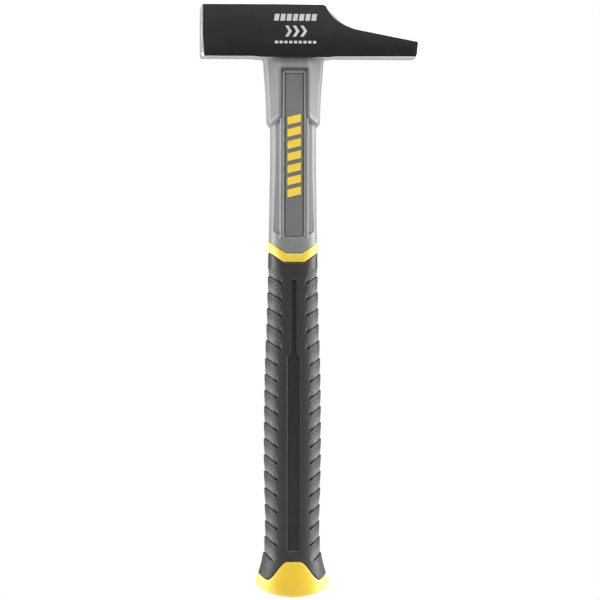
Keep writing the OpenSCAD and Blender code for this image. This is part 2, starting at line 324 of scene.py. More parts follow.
def with_rib(x, z, y):
    """Half depth y with the rib, which is narrow inside the window and fades out at its foot."""
    half = np.where(z > WIDE_RIB_Z, RIB_IN_WINDOW, RIB_BELOW)
    inside = box_inside(x, z, half, WINDOW_TOP - 1.1, RIB_END - 1.5, round_top=1.3)
    crest = np.where(z > WIDE_RIB_Z, RIB_Y, mix(RIB_Y, half_depth(z), step(-78, RIB_END, z)))
    eased = 0.35 * (1 - step(0, 0.4, inside))
    dished = 0.12 * step(0.4, 1.9, inside) * (z < WIDE_RIB_Z)
    raised = step(-0.1, 0.06, inside) * step(RIB_END - 1.2, RIB_END, z)
    return mix(y, np.maximum(y, crest - eased - dished), raised)


def with_recess(x, z, y):
    """Half depth y with the recess for the inlay."""
    inside = box_inside(x, z, INLAY_HALF + INLAY_GAP, INLAY_TOP + 0.1, INLAY_BOTTOM, cut_bottom=0.9)
    y = y - 0.25 * step(-0.6, -0.02, inside)
    return mix(y, np.minimum(y, SEAT_Y), step(-0.02, 0.12, inside))


def jacket_front(x, z, y):
    """Half depth of the jacket's front, with all that is cut or raised in it."""
    for change in (with_pockets, with_window, with_rib, with_recess):
        y = change(x, z, y)
    return y


def collar_facet(x, z, y):
    """The collar's rounded front corners, flattened to one facet on each side."""
    inner, outer = 6.2, half_width(z) - 1.4
    y_inner, y_outer = oval_y(inner, z), oval_y(outer, z)
    facet = mix(y_inner, y_outer, (x - inner) / (outer - inner))
    return mix(y, np.minimum(y, facet), step(-33, -29, z))


def neck_rows(front, sides):
    """Rows from the collar's top down to the step in under the band."""
    neck = spaced(ROD_TOP, 0.2, -9, 0.6, -24.5, 0.28, -35.5, 0.7, -80.5, 0.24, -92.5)
    zeta = np.concatenate([neck, [-92.6, -92.72, -92.85, -93.4, -93.6, -94.6, -96, -99]])
    flat_x = columns_for(zeta, front, sides)
    level = np.repeat(zeta[:, None], flat_x.shape[1], axis=1)
    # Towards the band the rows take up the slope of its edge
    z = level + (band_edge(flat_x, 0) - BAND_Z[0]) * np.clip((-83 - level) / 9.5, 0, 1)
    flat_x = refitted(flat_x, level, z, front)
    # The collar ends higher beside the rib than at the sides
    lift = 3.3 * np.clip((11.2 - flat_x) / 4.7, 0, 1) * step(-17, -27, z) * step(-40, -35, z)
    looked_up = z - lift
    y = collar_facet(flat_x, looked_up, oval_y(flat_x, looked_up))
    x = np.minimum(flat_x, half_width(z))
    y = jacket_front(x, z, y)
    # A fine gap above the band, and under the band the step in to the sleeve
    gap = 0.4 * step(-92.58, -92.74, level)
    x, y = pushed_in(x, y, z, mix(gap, GRIP_WALL, step(-93.6, -94.6, level)))
    return x, y, z


def sleeve_rows(front, sides):
    """Rows of the thinner sleeve inside the grip."""
    z = spaced(-101, 6, SLEEVE_END)
    x = columns_for(z, front, sides)
    z = np.repeat(z[:, None], x.shape[1], axis=1)
    x, y = pushed_in(x, oval_y(x, z), z, GRIP_WALL + 0.1)
    return x, y, z


def make_jacket():
    front = spaced(0, 0.7, 4.2, 0.12, 5.8, 0.2, 6.4, 0.1, 7.0, 0.16, 7.6, 0.4, 9.2, 0.18, 9.9)
    sides = 22
    neck = neck_rows(front, sides)
    sleeve = sleeve_rows(front, sides)
    rod = bore_rows(sleeve[0][-1], sleeve[1][-1], [SLEEVE_END, ROD_TOP])
    quarter = [np.concatenate(parts) for parts in zip(neck, sleeve, rod)]
    return ring_piece("jacket", quarter, joined=True)


def bore_rows(x, y, heights):
    """Rows on the bore that holds the rod, each column at the same bearing as (x, y)."""
    low, high = cad_box_mm("fibreglass_core")
    half_w, half_d = high[0] + 0.05, high[1] + 0.05
    bearing = np.arctan2(x / half_w, y / half_d)
    bore_x, bore_y = half_w * np.sin(bearing), half_d * np.cos(bearing)
    rows = [np.repeat(values[None, :], len(heights), axis=0) for values in (bore_x, bore_y)]
    return rows[0], rows[1], np.repeat(np.array(heights)[:, None], len(x), axis=1)


# ---------------------------------------------------------------------------
# Band, grip and butt cap
# ---------------------------------------------------------------------------


def make_band():
    front = spaced(0, 0.35, 9.9)
    across = np.array([0.0, 0.0, 0.03, 0.09, 0.2, 0.5, 0.8, 0.91, 0.97, 1.0, 1.0])
    edge = [GRIP_WALL - 0.3, 0.25, 0.0, -0.2, -0.3]
    inward = np.array(edge + [-0.33] + edge[::-1])
    base = columns_for(np.full(len(across), BAND_Z[0]), front, 26)
    z = mix(band_edge(base, 0), band_edge(base, 1), across[:, None])
    x = np.minimum(base, half_width(z))
    x, y = pushed_in(x, oval_y(x, z), z, inward[:, None])
    return ring_piece("band", (x, y, z), joined=True, sharp=50)


SCALES = 18
PITCH = 7.76
LAST_PITCH = PITCH - 0.9            # the lowest scale is shorter
FIRST_GROOVE = -107.8
LAST_GROOVE = FIRST_GROOVE - PITCH * (SCALES - 1)
GROOVE_DEPTH = 0.3
SCALE_DEPTH = 0.5
SLOT_TOP, SLOT_SHOULDER, SLOT_BOTTOM = -105.6, -140.4, -233.3
SLOT_HALF = (1.0, 2.95)             # above and below the shoulder
TONGUE_TOP, LOBE_Z, SIDE_Z = -238.75, -247.35, -244.4
LOBE_X = 12.2
LAID_OUT = np.array([-244.0])       # height that the lobed edge's columns are laid out for


def inner_end(z):
    """Distance from the centre line at which the scales stop."""
    return 5.6 + 1.9 * step(-137, -143, z) + 2.4 * step(LAST_GROOVE + 3, LAST_GROOVE, z)


def groove_rise(x, z):
    """How much higher a groove is at x than at its inner end."""
    slope = mix(0.64, 0.8, step(-107, -215, z))
    return slope * np.clip(x - inner_end(z), 0, None)


def lobe_edge(x):
    """Lower edge of the grip: over the tongue, down to the lobes and up again at the sides."""
    down = np.clip((x - 3.4) / (LOBE_X - 3.4), 0, 1)
    down = mix(down, step(0, 1, down), 0.75)
    up = step(LOBE_X, 17.2, x) ** 0.9
    return np.where(x < LOBE_X, mix(TONGUE_TOP, LOBE_Z, down), mix(LOBE_Z, SIDE_Z, up))


def grip_recess(x, z, part):
    """Depth of the scale pattern, and how rough each point is. part is the place in the scale."""
    out = x - inner_end(z)
    wall = 0.42 + 2.5 * step(-230, -237, z)
    on_scales = np.clip(out / wall, 0, 1) * step(FIRST_GROOVE + PITCH + 0.4, FIRST_GROOVE + PITCH - 0.4, z)
    hook = step(2.8, 0.3, out)
    recess = SCALE_DEPTH * (1 - hook) * part ** 1.8 + (SCALE_DEPTH + 0.6) * hook * part ** 5
    groove = (GROOVE_DEPTH + 0.2 * hook) * step(0.95, 0.975, part)
    return (recess + groove) * on_scales, on_scales


def slot_depth(x, z):
    """Depth of the slot down the middle, which is wider below its shoulder."""
    half = mix(SLOT_HALF[0], SLOT_HALF[1], np.clip((SLOT_SHOULDER - z) / 1.5, 0, 1))
    inside = np.minimum.reduce([half - x, SLOT_TOP - z, z - SLOT_BOTTOM])
    return 0.3 * step(-0.9, -0.1, inside) + 0.9 * step(-0.1, 0.08, inside)


def scale_rows():
    """Height at the middle, and place in its scale from 0 to 1, of each row of the pattern."""
    zeta, part = [], []
    for scale in range(SCALES):
        top = FIRST_GROOVE + PITCH * (1 - scale)
        busy = any(top - PITCH < level < top for level in (SLOT_TOP, SLOT_SHOULDER, SLOT_BOTTOM))
        body = np.concatenate([np.linspace(0.0, 0.93, 30 if busy else 10), [0.95, 0.975, 0.997]])
        pitch = LAST_PITCH if scale == SCALES - 1 else PITCH
        zeta += list(top - pitch * body)
        part += list(body)
    return np.array(zeta), np.array(part)


def grip_rows(front, sides):
    """X, height and place in the scale of every point outside, from the band to the lobes."""
    zeta, part = scale_rows()
    base = columns_for(zeta, front, sides)
    z = zeta[:, None] + groove_rise(base, np.repeat(zeta[:, None], base.shape[1], axis=1))
    # From the band down to the first scale
    blend_in = spaced(0, 0.125, 1)[:-1, None]
    z_top = mix(band_edge(base[:1], 1), z[:1], blend_in)
    # From the last groove down to the lobes
    blend_out = np.concatenate([[0.02], spaced(0.1, 0.1, 0.9), [0.96, 1.0]])[:, None]
    last = zeta[-1] - 0.02 + groove_rise(base[-1:], np.full((1, base.shape[1]), zeta[-1]))
    z_end = mix(last, lobe_edge(columns_for(LAID_OUT, front, sides)), blend_out)
    z = np.concatenate([z_top, z, z_end])
    # The rows above and below repeat the columns of the pattern's first and last row
    more = (len(z_top), len(z_end))
    x = np.pad(base, (more, (0, 0)), mode="edge")
    laid = np.pad(zeta, more, mode="edge")
    part = np.repeat(np.pad(part, more)[:, None], base.shape[1], axis=1)
    return refitted(x, laid[:, None], z, front), z, part


def make_grip():
    front = spaced(
        0, 0.4, 0.8, 0.1, 1.2, 0.45, 2.6, 0.1, 3.1, 0.45, 5.4, 0.12, 6.1, 0.4, 7.3, 0.12, 8.0, 0.4, 11
    )
    sides = 20
    x, z, part = grip_rows(front, sides)
    recess, rough = grip_recess(x, z, part)
    rough *= mix(0.3, 1, step(0, 4, x - inner_end(z)))
    # Painted highlight on the outer, lower part of each scale, just above its groove.
    worn = rough * step(0.25, 0.9, part) * step(7.5, 11, x) * step(0.97, 0.92, part)
    # The slot's depth, which also marks painted shade in the slot for the rubber.
    hollow = slot_depth(x, z)
    recess += hollow
    # Both ends are eased
    recess += 0.5 * (1 - step(0, 0.7, band_edge(x, 1) - z)) + 0.35 * (1 - step(0, 0.5, z - z[-1:]))
    x, y = pushed_in(x, oval_y(x, z), z, recess)
    # Inside, up to the band
    inner = np.concatenate([z[-1:], np.repeat(spaced(-236, 8, -102)[:, None], z.shape[1], 1), z[:1]])
    inner_x = columns_for(inner[:, 0], front, sides)
    inner_x, inner_y = pushed_in(inner_x, oval_y(inner_x, inner), inner, GRIP_WALL)
    quarter = [np.concatenate(parts) for parts in zip((x, y, z), (inner_x, inner_y, inner))]
    marks = {"grain": rough, "hollow": np.clip(hollow, 0, 1), "worn": worn}
    for mark, value in marks.items():
        marks[mark] = np.concatenate([value, np.zeros_like(inner)])
    return ring_piece("grip", quarter, joined=True, sharp=40, **marks)


END_R = 31.0
END_LIFT = 0.9                      # of the end's front and rear over its middle
RIM_ROUND = 1.8
RIM_SHARE = 0.88                    # where the rounded rim ends, as a share of the rim's section
BUTT_SEAT = -247.6                  # under the end of the jacket's sleeve


def end_z(x, y):
    """Height of the butt's end, which is curved mostly from side to side."""
    return BUTT_LOW[2] + END_R - np.sqrt(END_R ** 2 - x ** 2) + END_LIFT * (y / BUTT_HALF_D) ** 2


def butt_end(rim_x, rim_y):
    """Rows of the rounded rim and of the end inside it: scaled copies of the rim's section."""
    turn = np.radians([15, 30, 45, 60, 75, 90])
    share = RIM_SHARE + (1 - RIM_SHARE) * np.cos(turn)
    k = np.concatenate([share, [0.8, 0.7, 0.58, 0.44, 0.3, 0.15, 0.03]])[:, None]
    rise = np.zeros_like(k)
    rise[:len(turn), 0] = RIM_ROUND * (1 - np.sin(turn))
    return rim_x * k, rim_y * k, end_z(rim_x * k, rim_y * k) + rise


def make_butt():
    front = spaced(0, 0.5, 13)
    sides = 16
    edge_x = columns_for(LAID_OUT, front, sides)
    edge = lobe_edge(edge_x)
    rim_x = refitted(edge_x, LAID_OUT, np.array([RIM_Z]), front)
    rim_y = oval_y(rim_x, np.full_like(rim_x, RIM_Z))
    blend = np.array([0.0, 0.03, 0.08, 0.2, 0.35, 0.5, 0.65, 0.8, 0.9, 1.0])[:, None]
    z = mix(edge, end_z(rim_x, rim_y) + RIM_ROUND, blend)
    x = refitted(edge_x, LAID_OUT, z, front)
    lip = 0.35 * (1 - step(0, 0.5, edge - z))
    x, y = pushed_in(x, oval_y(x, z), z, lip)
    # Inside the grip: the seat on the sleeve, and the wall up to the lobed edge
    seat_x = columns_for(np.array([BUTT_SEAT]), front, sides)
    seat_z = np.full_like(seat_x, BUTT_SEAT)
    seat_x, seat_y = pushed_in(seat_x, oval_y(seat_x, seat_z), seat_z, GRIP_WALL)
    top_x, top_y = pushed_in(edge_x, oval_y(edge_x, edge), edge, GRIP_WALL)
    rows = zip((seat_x, seat_y, seat_z), (top_x, top_y, edge), (x, y, z), butt_end(rim_x, rim_y))
    return ring_piece("butt", [np.concatenate(parts) for parts in rows], sharp=50)


# ---------------------------------------------------------------------------
# Head
# ---------------------------------------------------------------------------

HEAD_TOP = HEAD_HIGH[2]
HEAD_HALF_D = HEAD_HIGH[1]
POLL = -HEAD_LOW[0]
PEIN = HEAD_HIGH[0]
TIP_Z = 7.4                         # height of the pein's upper corner
NOSE_FOOT = PEIN - 1.4
THROAT_X = 15.5                     # where the hollow over the pein starts
THROAT_R = 20.0
PEIN_SLOPE = math.radians(11)
BOSS_END = 20.0                     # the underside is a little lower between here and -BOSS_END
FACE_CORNER = 1.0
FACE_CROWN = 0.42
TOP_LIFT = 0.33                     # rise of the ground top over the CAD's, at the handle
EYE_FOOT = (10.0, 7.5)              # half width and half depth at the head's underside
EYE_SQUARENESS = 3.2


def straight(start, end, count, edges):
    """Points (x, z, edge) from start on towards end, which the next stretch starts with."""
    points = []
    for t in np.linspace(0, 1, count, endpoint=False):
        points.append((mix(start[0], end[0], t), mix(start[1], end[1], t), mix(*edges, t)))
    return points


def throat(lean, tip):
    """The hollow's arc, and the point where it meets the slope that runs on to the tip."""
    start = np.array([THROAT_X, HEAD_TOP])
    turn = math.asin(1 - (start - tip) @ lean / THROAT_R) - PEIN_SLOPE
    centre = start + THROAT_R * np.array([math.cos(turn), math.sin(turn)])
    first, last = turn - math.pi, math.atan2(-lean[1], -lean[0])
    points = []
    for t in np.linspace(0, 1, 28, endpoint=False):
        angle = mix(first, last, t)
        x, z = centre[0] + THROAT_R * math.cos(angle), centre[1] + THROAT_R * math.sin(angle)
        points.append((x, z, mix(1.1, 0.12, float(step(0.05, 0.85, t)))))
    return points, centre - THROAT_R * lean


def nose(tip):
    """The pein's end, which bulges from a straight line that the paint keeps to."""
    points = []
    for t in (0.0, 0.12, 0.28, 0.46, 0.64, 0.8, 0.92):
        bulge = 1.15 * math.sin(math.pi * t) ** 0.8
        points.append((mix(tip[0], NOSE_FOOT, t) + bulge, mix(tip[1], 0, t), bulge + 0.12))
    return points


def underside():
    """From the nose's foot back to the face's corner."""
    points = straight((NOSE_FOOT, 0), (BOSS_END, 0), 14, (0.3, 0.1))
    for x in np.linspace(BOSS_END, -BOSS_END, 24, endpoint=False):
        points.append((x, -0.4 * (1 - float(step(15.6, BOSS_END, abs(x)))), 0.1))
    return points + straight((-BOSS_END, 0), (FACE_CORNER - POLL, 0), 10, (0.1, 0.1))


def head_outline():
    """Points (x, z, edge) round the head from the face's foot, by the top; edge is the bevel's width."""
    corner, middle = FACE_CORNER, -8
    lean = np.array([math.sin(PEIN_SLOPE), math.cos(PEIN_SLOPE)])
    tip = (PEIN - 0.7, TIP_Z)
    arc, slope_start = throat(lean, tip)
    points = straight((-POLL, corner), (-POLL, HEAD_TOP - corner), 14, (1.5, 1.0))
    points += straight((-POLL, HEAD_TOP - corner), (corner - POLL, HEAD_TOP), 2, (1.0, 0.3))
    points += straight((corner - POLL, HEAD_TOP), (middle, HEAD_TOP), 14, (0.1, 0.1))
    points += straight((middle, HEAD_TOP), (THROAT_X - 0.2, HEAD_TOP), 12, (0.1, 0.3))
    points += arc
    points += straight(slope_start, tip, 16, (0.12, 0.12))
    points += nose(tip)
    points += underside()
    points += straight((corner - POLL, 0), (-POLL, corner), 2, (0.8, 1.5))
    outline = np.array(points)
    # The ground top rises a little towards the hollow
    lift = TOP_LIFT + 0.003 * outline[:, 0]
    outline[:, 1] += lift * step(HEAD_TOP - 1.5, HEAD_TOP, outline[:, 1])
    return outline


def square_off_cheek(cheek, outline):
    """Gives the cheek its straight left end, with square corners, whatever the face's own are."""
    corner, lip, slack = FACE_CORNER, 0.1, 0.01
    at_face = outline[:, 0] < corner - POLL + slack
    z = outline[at_face, 1]
    spread = np.clip((z - corner) / (HEAD_TOP - 2 * corner), 0, 1)
    past = np.clip(np.abs(z - HEAD_TOP / 2) - (HEAD_TOP / 2 - corner), 0, corner)
    cheek[at_face, 1] = mix(lip, HEAD_TOP + 0.2 - lip, spread)
    # The end stands a little further from the face at its foot
    cheek[at_face, 0] = 0.95 - POLL + 0.6 * step(11, 1.5, z) + 0.06 * past


def head_slices(xz, edge, cheek):
    """Copies of the outline from the front cheek to the rear one: bevel, body, bevel."""
    bevel = [(1.0, 0.0), (0.42, 0.3), (0.1, 0.72)]
    rows = []
    for side, steps in ((-1, bevel), (1, bevel[::-1])):
        for share, depth in steps:
            y = side * (HEAD_HALF_D - edge[:, 0] * depth)
            rows.append(np.column_stack([mix(xz, cheek, share), y]))
        if side < 0:
            rows += [np.column_stack([xz, (HEAD_HALF_D - edge[:, 0]) * u]) for u in np.linspace(-1, 1, 17)]
    return np.stack(rows)


def crown_face(points):
    """Sets the striking face's edges back from its middle. Points are (x, z, y)."""
    on_face = points[:, :, 0] < 0.35 - POLL
    off = np.maximum(np.abs(points[:, :, 2]) / HEAD_HALF_D, np.abs(points[:, :, 1] / HEAD_TOP * 2 - 1))
    points[:, :, 0] += np.where(on_face, FACE_CROWN * np.clip(off, 0, 1) ** 2.5, 0)


def make_head():
    outline = head_outline()
    xz, edge = outline[:, :2], outline[:, 2:]
    along = np.roll(xz, -1, axis=0) - np.roll(xz, 1, axis=0)
    along /= np.linalg.norm(along, axis=1, keepdims=True)
    cheek = xz + np.stack([along[:, 1], -along[:, 0]], axis=1) * edge
    square_off_cheek(cheek, xz)
    points = head_slices(xz, edge, cheek)
    crown_face(points)
    vertices = points[:, :, [0, 2, 1]].reshape(-1, 3)
    piece = link_mesh("head_forging", vertices, tube_faces(*points.shape[:2]))
    cut_eye(piece)
    return piece


def eye_loop(z, grow=0.0):
    """Loop of the eye at height z, on the CAD plug's own taper."""
    t = (z - EYE_LOW[2]) / (EYE_HIGH[2] - EYE_LOW[2])
    half_w = mix(EYE_FOOT[0], EYE_HIGH[0], t) + grow
    half_d = mix(EYE_FOOT[1], EYE_HIGH[1], t) + grow
    angle = np.radians(np.arange(0, 360, 4))
    power = 2 / EYE_SQUARENESS
    x = half_w * np.sign(np.cos(angle)) * np.abs(np.cos(angle)) ** power
    y = half_d * np.sign(np.sin(angle)) * np.abs(np.sin(angle)) ** power
    return np.column_stack([x, y, np.full_like(x, z)])


def cut_eye(piece):
    """Cuts the eye through the head, and leaves a fine chamfer round its upper mouth."""
    top = HEAD_TOP + TOP_LIFT
    loops = [eye_loop(-3), eye_loop(top - 0.35, 0.02), eye_loop(top + 0.4, 0.7)]
    cutter = link_mesh("eye_cutter", np.concatenate(loops), tube_faces(len(loops), len(loops[0])))
    change = piece.modifiers.new("eye", "BOOLEAN")
    change.object = cutter
    change.solver = "EXACT"
    apply_modifiers(piece)
    bpy.data.objects.remove(cutter)


def apply_modifiers(piece):
    """Replaces the piece's mesh with what its modifiers make of it."""
    graph = bpy.context.evaluated_depsgraph_get()
    made = bpy.data.meshes.new_from_object(piece.evaluated_get(graph))
    piece.modifiers.clear()
    piece.data = made


# ---------------------------------------------------------------------------
# Inlays, and the printing on the cheek: plain bars, no lettering
# ---------------------------------------------------------------------------


def prism(outline, y_back, y_front):
    """Vertices and faces of an outline in X and Z, standing between two depths on the front."""
    vertices = [(x, y, z) for y in (y_back, y_front) for x, z in outline]
    return vertices, tube_faces(2, len(outline))


def bar(x, z, width, height, slant=0.0):
    """Parallelogram with its lower left corner at (x, z)."""
    return [(x, z), (x + width, z), (x + width + slant, z + height), (x + slant, z + height)]


def make_inlay(side):
    """Plate in the rib, with its lower corners cut and its edges eased."""
    half, cut, ease = INLAY_HALF, 0.8, 0.25
    top, bottom = INLAY_TOP - 0.1, INLAY_BOTTOM + 0.15
    outline = [
        (-half, bottom + cut), (cut - half, bottom), (half - cut, bottom),
        (half, bottom + cut), (half, top), (-half, top),
    ]
    middle = (top + bottom) / 2
    eased = [(x - math.copysign(ease, x), z - math.copysign(ease, z - middle)) for x, z in outline]
    loops = ((outline, SEAT_Y), (outline, INLAY_FACE - ease), (eased, INLAY_FACE))
    turn = -1 if side == "front" else 1
    vertices = [(-turn * x, turn * y, z) for loop, y in loops for x, z in loop]
    return link_mesh(side + "_plate", vertices, tube_faces(len(loops), len(outline)))


def make_print():
    """Three lines of plain marks, printed on the front cheek."""
    outlines = []
    # Upper line: seven blocks of two heights
    for i in range(7):
        outlines.append(bar(-9.9 + 2.95 * i, 16.9, 2.2, 3.2, slant=0.5))
    # Middle: three bold chevrons
    for i in range(3):
        x = -4.6 + 3.6 * i
        outlines.append([
            (x, 9.4), (x + 1.5, 9.4), (x + 3.2, 12.0), (x + 1.5, 14.6), (x, 14.6), (x + 1.7, 12.0),
        ])
    # Lower line: a row of short dashes
    for i in range(9):
        outlines.append(bar(-9.4 + 2.25 * i, 6.2, 1.5, 1.2))
    vertices, faces = [], []
    sunk, thick = 0.02, 0.035
    for outline in outlines:
        more, sides = prism(outline, sunk - HEAD_HALF_D, -HEAD_HALF_D - thick)
        faces += [[len(vertices) + index for index in face] for face in sides]
        vertices += more
    return link_mesh("cheek_print", vertices, faces)


# ---------------------------------------------------------------------------
# Materials
# ---------------------------------------------------------------------------


class Shader:
    """A material's nodes, added one call at a time."""

    def __init__(self, name):
        self.material = bpy.data.materials.new(name)
        self.material.use_nodes = True
        self.tree = self.material.node_tree
        self.surface = self.tree.nodes["Principled BSDF"]

    def node(self, kind, **settings):
        made = self.tree.nodes.new(kind)
        for key, value in settings.items():
            setattr(made, key, value)
        return made

    def link(self, source, target):
        self.tree.links.new(source, target)

    def place(self, stretch=(1, 1, 1)):
        """The object's own coordinates in metres, stretched."""
        where = self.node("ShaderNodeTexCoord")
        scale = self.node("ShaderNodeMapping")
        scale.inputs["Scale"].default_value = stretch
        self.link(where.outputs["Object"], scale.inputs["Vector"])
        return scale.outputs["Vector"]

    def coordinate(self, axis):
        """One of the object's own coordinates, in metres."""
        parts = self.node("ShaderNodeSeparateXYZ")
        self.link(self.place(), parts.inputs["Vector"])
        return parts.outputs[axis]

    def noise(self, size_mm, detail=3.0, stretch=(1, 1, 1), roughness=0.55):
        """Noise whose grains are about size_mm across."""
        made = self.node("ShaderNodeTexNoise")
        made.inputs["Scale"].default_value = 1000.0 / size_mm
        made.inputs["Detail"].default_value = detail
        made.inputs["Roughness"].default_value = roughness
        self.link(self.place(stretch), made.inputs["Vector"])
        return made.outputs["Fac"]

    def spread(self, value, low, high, start=0.3, end=0.7):
        """Maps start..end of a value to low..high."""
        made = self.node("ShaderNodeMapRange")
        for key, number in (("From Min", start), ("From Max", end), ("To Min", low), ("To Max", high)):
            made.inputs[key].default_value = number
        self.link(value, made.inputs["Value"])
        return made.outputs["Result"]

    def colours(self, fac, first, second):
        made = self.node("ShaderNodeMix", data_type="RGBA")
        self.link(fac, made.inputs["Factor"])
        for socket, colour in zip((made.inputs[6], made.inputs[7]), (first, second)):
            if hasattr(colour, "links"):
                self.link(colour, socket)
            else:
                socket.default_value = (*colour, 1)
        return made.outputs[2]

    def maths(self, operation, first, second):
        made = self.node("ShaderNodeMath", operation=operation)
        for socket, value in zip(made.inputs, (first, second)):
            if hasattr(value, "links"):
                self.link(value, socket)
            else:
                socket.default_value = value
        return made.outputs["Value"]

    def bump(self, height, depth_mm, strength=1.0, under=None):
        made = self.node("ShaderNodeBump")
        made.inputs["Distance"].default_value = depth_mm * MM
        made.inputs["Strength"].default_value = strength
        self.link(height, made.inputs["Height"])
        if under is not None:
            self.link(under, made.inputs["Normal"])
        self.link(made.outputs["Normal"], self.surface.inputs["Normal"])
        return made.outputs["Normal"]

    def set(self, **values):
        for key, value in values.items():
            socket = self.surface.inputs[key.replace("_", " ").title().replace("Ior", "IOR")]
            if hasattr(value, "links"):
                self.link(value, socket)
            else:
                socket.default_value = (*value, 1) if isinstance(value, tuple) else value


def black_paint():
    s = Shader("black_paint")
    # Paler towards the top of each cheek: painted light, standing in for light from above reflected in the
    # paint, with a random cloud over it.
    height = s.spread(s.coordinate("Z"), 0, 1, 0.0, HEAD_TOP * MM)
    cloud = s.spread(s.noise(9, 4), -0.12, 0.12)
    painted_light_paler = s.maths("ADD", height, cloud)
    s.set(
        base_color=s.colours(painted_light_paler, (0.006, 0.006, 0.006), (0.021, 0.021, 0.022)),
        roughness=s.spread(s.noise(3, 4), 0.42, 0.5),
        specular_ior_level=0.3,
    )
    s.bump(s.noise(0.7, 2), 0.02, 0.35)
    return s.material


def painted_shadow_under_head(s, reach):
    """Mask of the painted shadow in the corner between head and collar, down to reach millimetres below
    the head.
    """
    x, z = s.coordinate("X"), s.coordinate("Z")
    sideways = s.spread(s.maths("MULTIPLY", x, x), 1, 0, (7 * MM) ** 2, (13 * MM) ** 2)
    below = s.spread(z, 0, 1, -reach * MM, -0.3 * MM)
    above = s.spread(z, 1, 0, 0.5 * MM, 2 * MM)
    return s.maths("MULTIPLY", sideways, s.maths("MULTIPLY", below, above))


def out_from_middle(s, start, end):
    """0 within start millimetres of the middle, 1 beyond end, side to side."""
    x = s.coordinate("X")
    return s.spread(s.maths("MULTIPLY", x, x), 0, 1, (start * MM) ** 2, (end * MM) ** 2)


def painted_shade_down(s, colour):
    """The colour with painted shade: full strength at the collar, down to 0.82 of it at the band."""
    value = s.spread(s.coordinate("Z"), 0.82, 1, -95 * MM, -10 * MM)
    made = s.node("ShaderNodeHueSaturation")
    s.link(colour, made.inputs["Color"])
    s.link(value, made.inputs["Value"])
    return made.outputs["Color"]


def ground_steel():
    """Bright steel with fine grinding lines, and a painted shadow in the corner under the head."""
    s = Shader("ground_steel")
    lines = s.noise(0.25, 3, stretch=(0.03, 1, 1))
    bright = s.colours(s.spread(s.noise(6, 4), 0, 1), (0.85, 0.85, 0.84), (0.93, 0.93, 0.92))
    s.set(
        # Painted shadow: the steel turns dark where it meets the collar.
        base_color=s.colours(painted_shadow_under_head(s, 1), bright, (0.04, 0.04, 0.04)),
        roughness=s.spread(lines, 0.2, 0.34),
        metallic=1.0,
    )
    s.bump(lines, 0.01, 0.12)
    return s.material


def moulded(
    name, first, second, roughness, grain_mm=0.35, grain_depth=0.03, neck=False, painted_sheen=None
):
    """Satin moulded plastic with a fine grain and faint clouding.

    On the neck it has painted shade, darker towards the band, and a painted shadow under the head.
    The yellow sides can get a painted sheen: paler from the first given distance from the middle, all pale
    beyond the second.
    """
    s = Shader(name)
    base = s.colours(s.spread(s.noise(14, 4), 0, 1), first, second)
    if painted_sheen:
        # Painted sheen: the yellow turns paler towards the sides.
        base = s.colours(out_from_middle(s, *painted_sheen), base, (0.80, 0.77, 0.15))
    if neck:
        # Painted shade, darker towards the band, and a painted shadow in the corner under the head.
        base = painted_shade_down(s, base)
        base = s.colours(painted_shadow_under_head(s, 3.6), base, (0.03, 0.03, 0.03))
    s.set(
        base_color=base,
        roughness=s.spread(s.noise(4, 3), roughness - 0.05, roughness + 0.05),
    )
    s.bump(s.noise(grain_mm, 2), grain_depth, 0.5)
    return s.material


def rubber():
    """Soft black rubber: pebbled on the scales, smooth between them, with a painted highlight on the outer
    part of each scale above its groove, and painted shade in the slot.
    """
    s = Shader("grip_rubber")
    grain, hollow, worn = (
        s.node("ShaderNodeAttribute", attribute_name=mark).outputs["Fac"]
        for mark in ("grain", "hollow", "worn")
    )
    pebbles = s.node("ShaderNodeTexVoronoi", feature="SMOOTH_F1")
    pebbles.inputs["Scale"].default_value = 1000.0 / 0.7
    pebbles.inputs["Smoothness"].default_value = 0.6
    s.link(s.place(), pebbles.inputs["Vector"])
    pebble_height = s.maths("MULTIPLY", pebbles.outputs["Distance"], grain)
    cloud = s.spread(s.noise(5, 4), 0, 1)
    smooth = s.colours(cloud, (0.017, 0.017, 0.017), (0.021, 0.021, 0.02))
    dimple = s.spread(pebbles.outputs["Distance"], 0, 1, 0.1, 0.6)
    rough = s.colours(dimple, (0.052, 0.052, 0.051), (0.012, 0.012, 0.012))
    painted_light_paler = s.colours(dimple, (0.17, 0.17, 0.17), (0.09, 0.09, 0.09))
    # The painted highlight makes the scales paler there.
    on_top = s.colours(worn, s.colours(grain, smooth, rough), painted_light_paler)
    s.set(
        # Painted shade: the slot is darker than the rubber round it.
        base_color=s.colours(hollow, on_top, (0.010, 0.010, 0.010)),
        roughness=s.maths("ADD", s.maths("MULTIPLY", grain, 0.1), 0.46),
        specular_ior_level=0.5,
    )
    fine = s.bump(s.noise(0.25, 2), 0.02, 0.4)
    s.bump(pebble_height, 0.3, 0.8, under=fine)
    return s.material


def fibreglass():
    s = Shader("bare_fibreglass")
    strands = s.noise(0.4, 4, stretch=(1, 1, 0.02))
    s.set(
        base_color=s.colours(s.spread(strands, 0, 1), (0.62, 0.54, 0.32), (0.8, 0.74, 0.5)),
        roughness=0.45,
    )
    s.bump(strands, 0.05, 0.5)
    return s.material


def resin():
    s = Shader("cured_resin")
    s.set(
        base_color=s.colours(s.spread(s.noise(2.5, 4), 0, 1), (0.02, 0.02, 0.021), (0.045, 0.044, 0.042)),
        roughness=s.spread(s.noise(1.2, 3), 0.25, 0.5),
    )
    s.bump(s.noise(1.5, 3), 0.12, 0.5)
    return s.material


